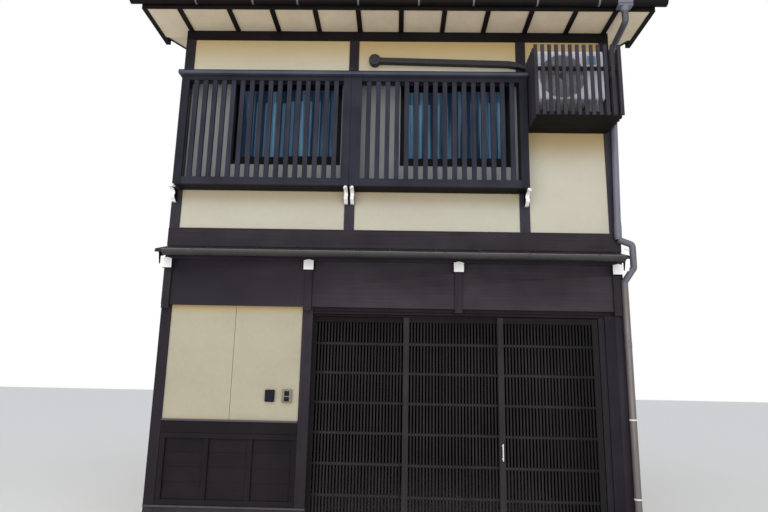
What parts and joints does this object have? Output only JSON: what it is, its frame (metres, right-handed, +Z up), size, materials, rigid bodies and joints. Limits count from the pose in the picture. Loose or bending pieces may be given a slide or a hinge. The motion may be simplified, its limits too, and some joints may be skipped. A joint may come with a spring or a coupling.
{
  "type": "machiya townhouse",
  "caption": "Narrow two-storey timber townhouse with a metal gable roof, lattice window boxes, a canopy roof and a garage behind sliding lattice leaves.",
  "frame": {"origin": "middle of the ground plan, at ground level", "axes": "+Z up, -Y towards the street, +X to the right as seen from the street"},
  "size_m": [5.55, 8.4136, 6.9809],
  "materials": {
    "mortar": "trowelled cement render",
    "concrete": "floated concrete",
    "sheet_metal": "folded sheet",
    "stained_timber": "dark stain, planed",
    "dark_timber": "darker stain, planed",
    "cream_board": "smooth coated wall board",
    "cream_plaster": "trowelled plaster",
    "party_plaster": "sprayed plaster",
    "box_plastic": "moulded, satin",
    "rail_steel": "rolled section",
    "white_plastic": "moulded",
    "white_paint": "white paint on end grain",
    "gutter_metal": "coated, satin",
    "window_alloy": "black anodised",
    "window_glass": "float glass",
    "unit_metal": "powder coat",
    "duct_plastic": "extruded cover",
    "floor_boards": "bare boards",
    "roof_metal": "standing seam sheet",
    "eaves_board": "coated eaves boards",
    "pipe_plastic": "extruded pipe"
  },
  "bodies": {
    "house": {"plinth": "mortar", "garage_floor": "concrete", "drip_flashings": "sheet_metal", "ground_posts": "stained_timber", "door_jamb": "stained_timber", "ground_wall": "cream_board", "wainscot": "dark_timber", "entry_boxes": "box_plastic", "garage_lintel": "stained_timber", "head_track": "dark_timber", "floor_rails": "rail_steel", "curtain_board": "stained_timber", "curtain_battens": "stained_timber", "canopy_arms": "stained_timber", "canopy_boards": "dark_timber", "white_ends": "white_paint", "canopy_gutter": "gutter_metal", "sill_beam": "stained_timber", "upper_posts": "stained_timber", "upper_wall": "cream_plaster", "wall_plate": "stained_timber", "window_frames": "window_alloy", "window_glass": "window_glass", "lattice_box_left": "stained_timber", "lattice_box_right": "stained_timber", "scroll_brackets": "white_paint", "unit_cage": "stained_timber", "outdoor_unit": "unit_metal", "duct_cover": "duct_plastic", "party_walls": "party_plaster", "upper_floor": "floor_boards", "roof_front": "roof_metal", "roof_rear": "roof_metal", "ridge_cap": "roof_metal", "eaves_boards": "eaves_board", "eaves_frame": "dark_timber", "verge_boards": "dark_timber", "eaves_gutters": "gutter_metal", "downpipe": "pipe_plastic"},
    "left_leaf": {"leaf_left": "dark_timber"},
    "middle_leaf": {"leaf_middle": "dark_timber"},
    "right_leaf": {"leaf_right": "dark_timber", "pull_handle": "white_plastic"}
  },
  "joints": [
    {"name": "left_leaf_slide", "type": "slide", "parent": "house", "child": "left_leaf", "axis": [1, 0, 0], "range_m": [0, 1.87]},
    {"name": "middle_leaf_slide", "type": "slide", "parent": "house", "child": "middle_leaf", "axis": [1, 0, 0], "range_m": [-0.89, 0.935]},
    {"name": "right_leaf_slide", "type": "slide", "parent": "house", "child": "right_leaf", "axis": [1, 0, 0], "range_m": [-1.835, 0]}
  ]
}
